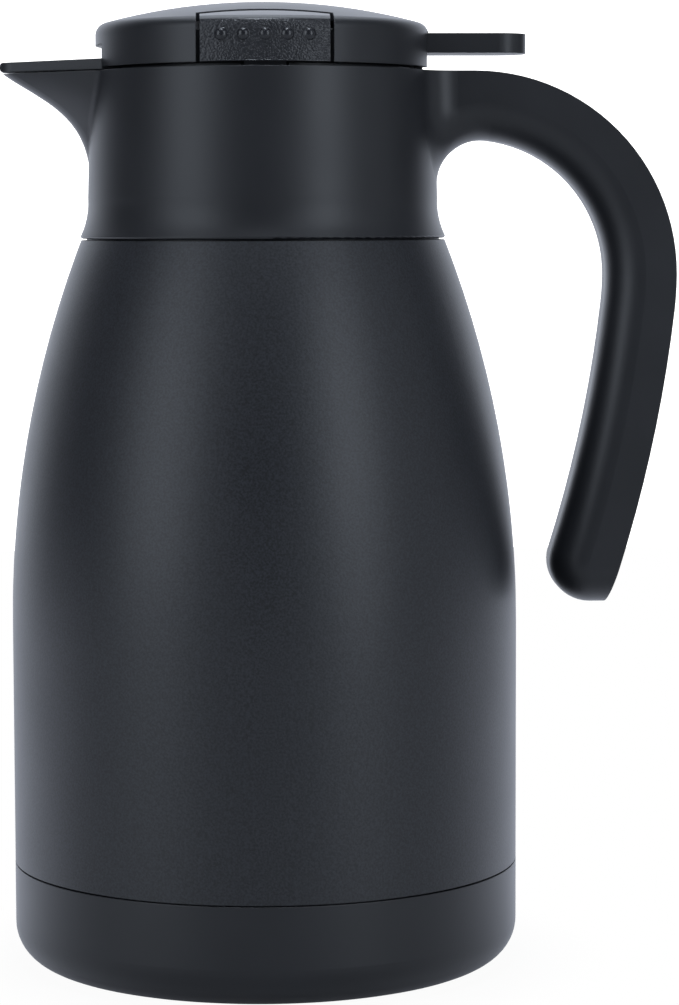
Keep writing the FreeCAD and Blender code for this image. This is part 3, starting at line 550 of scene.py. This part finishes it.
@dataclass(frozen=True)
class PaperSweep:
    """Matte white paper rolled out under the object.

    It keeps the soft shadow near the base and runs out into plain white. Satin surfaces mirror
    it white behind the object, and from below it is clear.
    """

    name: str = "white_paper_sweep"
    paper: str = "#c4c4c4"
    fade_m: tuple[float, float] = (0.06, 0.09)
    glow_at_base: float = 0.96
    mirror_edge_m: tuple[float, float] = (-0.08, 0.05)
    mirror_tint: str = "#e8efff"
    mirror_strength: float = 1.5

    def build(self) -> bpy.types.Material:
        """Build the paper's nodes.

        Returns:
            The finished material.
        """
        material, tree = blank_material(self.name)
        place = add_node(tree, "ShaderNodeTexCoord").outputs["Object"]
        ray = add_node(tree, "ShaderNodeLightPath")
        camera = ray.outputs["Is Camera Ray"]
        reach = add_node(tree, "ShaderNodeVectorMath", {"operation": "LENGTH"}, {0: place})
        fade = add_node(
            tree,
            "ShaderNodeMapRange",
            {
                "interpolation_type": "SMOOTHSTEP",
                "From Min": self.fade_m[0],
                "From Max": self.fade_m[1],
                "To Min": self.glow_at_base,
            },
            {"Value": reach.outputs["Value"]},
        )
        depth = add_node(tree, "ShaderNodeSeparateXYZ", links={"Vector": place}).outputs[Axis.Y.value]
        behind = add_node(
            tree,
            "ShaderNodeMapRange",
            {
                "interpolation_type": "SMOOTHSTEP",
                "From Min": self.mirror_edge_m[0],
                "From Max": self.mirror_edge_m[1],
            },
            {"Value": depth},
        )
        mirrored = add_node(
            tree,
            "ShaderNodeMath",
            {"operation": "MULTIPLY"},
            {0: ray.outputs["Is Glossy Ray"], 1: behind.outputs["Result"]},
        )
        shown = add_node(
            tree, "ShaderNodeMath", {"operation": "MAXIMUM"}, {0: camera, 1: mirrored.outputs["Value"]}
        )
        white = add_node(
            tree,
            "ShaderNodeMath",
            {"operation": "MULTIPLY"},
            {0: shown.outputs["Value"], 1: fade.outputs["Result"]},
        )
        tint = add_node(
            tree,
            "ShaderNodeMix",
            {"data_type": "RGBA", MIX_FIRST: linear(self.mirror_tint), MIX_SECOND: linear(WHITE)},
            {"Factor": camera},
        )
        strength = add_node(
            tree, "ShaderNodeMapRange", {"To Min": self.mirror_strength, "To Max": 1.0}, {"Value": camera}
        )
        paper = add_node(tree, "ShaderNodeBsdfDiffuse", {"Color": linear(self.paper)})
        glow = add_node(
            tree,
            "ShaderNodeEmission",
            links={"Color": tint.outputs[MIX_BLEND], "Strength": strength.outputs["Result"]},
        )
        lit = add_node(
            tree,
            "ShaderNodeMixShader",
            links={"Fac": white.outputs["Value"], 1: paper.outputs["BSDF"], 2: glow.outputs["Emission"]},
        )
        underside = add_node(tree, "ShaderNodeNewGeometry").outputs["Backfacing"]
        clear = add_node(tree, "ShaderNodeBsdfTransparent")
        one_sided = add_node(
            tree,
            "ShaderNodeMixShader",
            links={"Fac": underside, 1: lit.outputs["Shader"], 2: clear.outputs["BSDF"]},
        )
        add_node(tree, "ShaderNodeOutputMaterial", links={"Surface": one_sided.outputs["Shader"]})
        return material


@dataclass
class Finishes:
    """The materials that the sub-assemblies share, built once."""

    coat: bpy.types.Material = field(default_factory=lambda: PowderCoatedSteel().build())
    plastic: bpy.types.Material = field(default_factory=lambda: MouldedPlastic().build())
    pebbled: bpy.types.Material = field(default_factory=lambda: SparkErodedPlastic().build())
    steel: bpy.types.Material = field(default_factory=lambda: StainlessSteel().build())
    wire: bpy.types.Material = field(default_factory=lambda: SpringWire().build())
    silicone: bpy.types.Material = field(default_factory=lambda: MouldedSilicone().build())


def wear(material: bpy.types.Material, *node_names: str) -> None:
    """Give every face of some CAD nodes one material.

    Args:
        material: what they are made of.
        node_names: names of the nodes.
    """
    for name in node_names:
        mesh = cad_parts[name].data
        mesh.materials.clear()
        mesh.materials.append(material)
        for face in mesh.polygons:
            face.material_index = 0
        LOG.info("%s is %s", name, material.name)


@dataclass
class Flask:
    """Double-walled steel flask on its base cup, with the gasket on its rim."""

    finishes: Finishes

    def dress(self) -> None:
        """Dress the flask: coated outside, brushed inside, plastic underneath."""
        wear(self.finishes.coat, "outer_shell")
        wear(self.finishes.steel, "liner_floor", "inner_liner", "liner_neck", "vacuum_bottom", "getter")
        wear(self.finishes.plastic, "base_cup")
        wear(self.finishes.silicone, "neck_gasket")


@dataclass
class CollarAndHandle:
    """Moulded collar with spout and handle, and the strip let into the handle's back."""

    finishes: Finishes

    def dress(self) -> None:
        """Dress the collar moulding and its strip alike."""
        wear(self.finishes.plastic, "collar", "handle_cover")


@dataclass
class CoilSpring:
    """A compression spring wound from round wire, in the room of its CAD sleeve."""

    sleeve: str
    joint: str
    axis: Axis
    seat: Seat
    wire_mm: float
    turns: float
    travel_mm: float
    body: str = "lid"
    steps_per_turn: int = 28
    wire_sides: int = 8
    end_turns: float = 1.0

    def winding(self, share: float, length_mm: float) -> float:
        """How far along the spring a turn lies, flattened into closed turns at both ends.

        Args:
            share: share of the wire's turns, from 0 to 1.
            length_mm: free length of the spring.

        Returns:
            Share of the way from the first turn to the last.
        """
        turn = share * self.turns
        closed = self.wire_mm * self.end_turns
        length = length_mm - self.wire_mm
        if turn < self.end_turns:
            return turn * self.wire_mm / length
        if turn > self.turns - self.end_turns:
            return 1 - (self.turns - turn) * self.wire_mm / length
        middle = (turn - self.end_turns) / (self.turns - 2 * self.end_turns)
        return (closed + middle * (length - 2 * closed)) / length

    def wind(self, middle: Vector, length: float, width: float) -> bpy.types.Mesh:
        """Sweep the round of the wire along its turns.

        Args:
            middle: middle of the spring.
            length: free length.
            width: outside diameter.

        Returns:
            The wire's mesh.
        """
        along = self.axis.unit()
        across = Axis.X.unit()
        aside = along.cross(across)
        wire = self.wire_mm * MM / 2
        radius = width / 2 - wire
        start = middle - along * (length / 2 - wire)
        count = int(self.turns * self.steps_per_turn)
        shape = bmesh.new()
        rings = []
        for step in range(count + 1):
            share = step / count
            angle = share * self.turns * math.tau
            out = across * math.cos(angle) + aside * math.sin(angle)
            climb = self.winding(share, length / MM) * (length - 2 * wire)
            centre = start + along * climb + out * radius
            ring = []
            for side in range(self.wire_sides):
                lean = side / self.wire_sides * math.tau
                ring.append(shape.verts.new(centre + (out * math.cos(lean) + along * math.sin(lean)) * wire))
            rings.append(ring)
        for here, there in zip(rings, rings[1:]):
            for side in range(self.wire_sides):
                onward = (side + 1) % self.wire_sides
                shape.faces.new((here[side], here[onward], there[onward], there[side]))
        wall_faces = len(shape.faces)
        shape.faces.new(rings[0])
        shape.faces.new(list(reversed(rings[-1])))
        bmesh.ops.recalc_face_normals(shape, faces=shape.faces)
        mesh = bpy.data.meshes.new(f"{self.sleeve}_coil")
        shape.to_mesh(mesh)
        shape.free()
        for face in mesh.polygons:
            face.use_smooth = face.index < wall_faces
        return mesh

    def build(self, material: bpy.types.Material) -> bpy.types.Object:
        """Wind the wire and set it in its sleeve's place on its body.

        Args:
            material: what the wire is made of.

        Returns:
            The spring.
        """
        low, high = (Vector(corner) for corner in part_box(self.sleeve))
        along = self.axis.unit()
        middle = (low + high) / 2
        length = (high - low).dot(along)
        mesh = self.wind(middle, length, (high - low).dot(Axis.X.unit()))
        mesh.materials.append(material)
        coil = bpy.data.objects.new(mesh.name, mesh)
        bpy.context.scene.collection.objects.link(coil)
        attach(coil, self.body)
        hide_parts(self.sleeve)
        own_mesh(coil)
        LOG.info("%s wound in %.1f turns", coil.name, self.turns)
        return coil


@dataclass
class Lid:
    """Lift-off lid: dome, base plate, stopper with its ring, screws, pin and springs."""

    finishes: Finishes
    springs: list[CoilSpring] = field(
        default_factory=lambda: [
            CoilSpring(
                "lever_spring", "lever_press", Axis.Z, Seat.LOW,
                wire_mm=0.6, turns=6.0, travel_mm=1.55,
            ),
            CoilSpring(
                "button_spring_near", "button_near_push", Axis.Y, Seat.HIGH,
                wire_mm=0.5, turns=9.0, travel_mm=2.0,
            ),
            CoilSpring(
                "button_spring_far", "button_far_push", Axis.Y, Seat.LOW,
                wire_mm=0.5, turns=9.0, travel_mm=2.0,
            ),
        ]
    )

    def dress(self) -> None:
        """Dress the lid's plastic, steel and rubber."""
        wear(self.finishes.plastic, "lid_cover", "lid_base", "stopper")
        wear(self.finishes.silicone, "stopper_seal")
        wear(self.finishes.steel, "lid_screws", "lever_pin")

    def build(self) -> None:
        """Wind the three springs in place of their sleeves."""
        for spring in self.springs:
            wear(self.finishes.wire, spring.sleeve)
            spring.build(self.finishes.wire)


@dataclass
class PourLever:
    """Rocking lever with thumb tab and spout flap, and the rubber pad that shuts the port."""

    finishes: Finishes

    def dress(self) -> None:
        """Dress the lever and its pad."""
        wear(self.finishes.plastic, "pour_lever")
        wear(self.finishes.silicone, "pour_seal")


@dataclass
class ReleaseButtons:
    """The two squeeze buttons in the lid's sides, pebbled below a smooth lip."""

    finishes: Finishes

    def dress(self) -> None:
        """Dress both buttons."""
        wear(self.finishes.pebbled, "release_button_near", "release_button_far")


@dataclass
class SoftBox:
    """A rectangular lamp turned to the flask, with its place and size in metres."""

    name: str
    bearing_deg: float
    distance: float
    height: float
    width: float
    tall: float
    watts: float
    tint: str = "#eaf3ff"

    def hang(self, aim: Vector) -> None:
        """Hang the lamp, turned to a point.

        Args:
            aim: where it shines.
        """
        turn = math.radians(self.bearing_deg)
        spot = Vector((math.sin(turn) * self.distance, -math.cos(turn) * self.distance, self.height))
        lamp = bpy.data.lights.new(self.name, "AREA")
        lamp.shape = "RECTANGLE"
        lamp.size, lamp.size_y = self.width, self.tall
        lamp.energy = self.watts
        lamp.color = linear(self.tint)[:3]
        box = bpy.data.objects.new(self.name, lamp)
        box.location = spot
        box.rotation_euler = (aim - spot).to_track_quat("-Z", "Y").to_euler()
        bpy.context.scene.collection.objects.link(box)


@dataclass
class Studio:
    """White sweep, soft boxes and the camera at the photograph's place, in metres and degrees."""

    swing_deg: float = -1.05
    camera_distance: float = 0.81425
    camera_height: float = 0.18659
    pan_deg: float = 1.324
    tilt_deg: float = 5.063
    roll_deg: float = -0.157
    focal_px: float = 3264.4
    frame_height_px: int = 1005
    sensor_mm: float = 36.0
    clip_start: float = 0.01
    floor_half: float = 1.0
    floor_drop: float = 0.0001
    wall_edge: tuple[float, float] = (0.45, 0.9)
    wall_levels: tuple[float, float] = (0.075, 1.85)
    wall_tint: str = "#eaf1ff"
    aim: tuple[float, float, float] = (0.0, 0.0, 0.12)
    boxes: list[SoftBox] = field(
        default_factory=lambda: [
            SoftBox("left_box", -50.0, distance=1.35, height=0.5, width=0.7, tall=1.3, watts=7.8),
            SoftBox("right_box", 40.0, distance=1.35, height=0.5, width=0.48, tall=1.3, watts=7.4),
            SoftBox("top_box", 180.0, distance=0.35, height=1.35, width=1.2, tall=0.8, watts=9.8),
            SoftBox("right_fill", 80.0, distance=1.35, height=0.5, width=0.7, tall=1.3, watts=1.3),
            SoftBox("front_spot", -4.0, distance=0.38, height=1.3, width=0.26, tall=0.2, watts=4.8),
        ]
    )

    def place_camera(self) -> None:
        """Set the camera to the place, aim and lens worked out from the photograph."""
        swing, pan, tilt, roll = (
            math.radians(angle) for angle in (self.swing_deg, self.pan_deg, self.tilt_deg, self.roll_deg)
        )
        away = self.camera_distance
        spot = Vector((math.sin(swing) * away, -math.cos(swing) * away, self.camera_height))
        heading = pan - swing
        level = math.cos(tilt)
        ahead = Vector((math.sin(heading) * level, math.cos(heading) * level, -math.sin(tilt)))
        right = Vector((math.cos(heading), -math.sin(heading), 0.0))
        up = right.cross(ahead)
        rolled_right = right * math.cos(roll) + up * math.sin(roll)
        rolled_up = up * math.cos(roll) - right * math.sin(roll)
        lens = bpy.data.cameras.new("photo_camera")
        lens.sensor_fit = "VERTICAL"
        lens.sensor_height = self.sensor_mm
        lens.lens = self.focal_px * self.sensor_mm / self.frame_height_px
        lens.clip_start = self.clip_start
        camera = bpy.data.objects.new("photo_camera", lens)
        turn = Matrix((rolled_right, rolled_up, -ahead)).transposed().to_4x4()
        camera.matrix_world = Matrix.Translation(spot) @ turn
        bpy.context.scene.collection.objects.link(camera)
        bpy.context.scene.camera = camera

    def lay_floor(self) -> None:
        """Lay the paper just below the base, so that both show from their own side."""
        mesh = bpy.data.meshes.new("studio_floor")
        half, low = self.floor_half, -self.floor_drop
        corners = [(-half, -half, low), (half, -half, low), (half, half, low), (-half, half, low)]
        mesh.from_pydata(corners, [], [(0, 1, 2, 3)])
        mesh.materials.append(PaperSweep().build())
        floor = bpy.data.objects.new("studio_floor", mesh)
        bpy.context.scene.collection.objects.link(floor)

    def light_world(self) -> None:
        """White to the eye; for lighting, bright behind the object and dim around it."""
        world = bpy.data.worlds.new("white_studio")
        bpy.context.scene.world = world
        world.use_nodes = True
        tree = world.node_tree
        tree.nodes.clear()
        place = add_node(tree, "ShaderNodeTexCoord").outputs["Generated"]
        depth = add_node(tree, "ShaderNodeSeparateXYZ", links={"Vector": place}).outputs[Axis.Y.value]
        # Satin black mirrors this wall at its rims. White all round would turn the body grey.
        wall = add_node(
            tree,
            "ShaderNodeMapRange",
            {
                "interpolation_type": "SMOOTHSTEP",
                "From Min": self.wall_edge[0],
                "From Max": self.wall_edge[1],
                "To Min": self.wall_levels[0],
                "To Max": self.wall_levels[1],
            },
            {"Value": depth},
        )
        camera = add_node(tree, "ShaderNodeLightPath").outputs["Is Camera Ray"]
        strength = add_node(
            tree, "ShaderNodeMath", {"operation": "MAXIMUM"}, {0: wall.outputs["Result"], 1: camera}
        )
        tint = add_node(
            tree,
            "ShaderNodeMix",
            {"data_type": "RGBA", MIX_FIRST: linear(self.wall_tint), MIX_SECOND: linear(WHITE)},
            {"Factor": camera},
        )
        glow = add_node(
            tree,
            "ShaderNodeBackground",
            links={"Color": tint.outputs[MIX_BLEND], "Strength": strength.outputs["Value"]},
        )
        add_node(tree, "ShaderNodeOutputWorld", links={"Surface": glow.outputs["Background"]})

    def set_up(self) -> None:
        """Build the whole studio."""
        bpy.context.scene.view_settings.view_transform = "Standard"
        self.place_camera()
        self.lay_floor()
        self.light_world()
        for box in self.boxes:
            box.hang(Vector(self.aim))
        LOG.info("studio ready")


def main() -> None:
    """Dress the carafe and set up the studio."""
    logging.basicConfig(level=logging.INFO, format="%(name)s: %(message)s")
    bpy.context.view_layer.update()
    finishes = Finishes()
    Flask(finishes).dress()
    CollarAndHandle(finishes).dress()
    lid = Lid(finishes)
    lid.dress()
    lid.build()
    PourLever(finishes).dress()
    ReleaseButtons(finishes).dress()
    Studio().set_up()


if __name__ == "__main__":
    main()
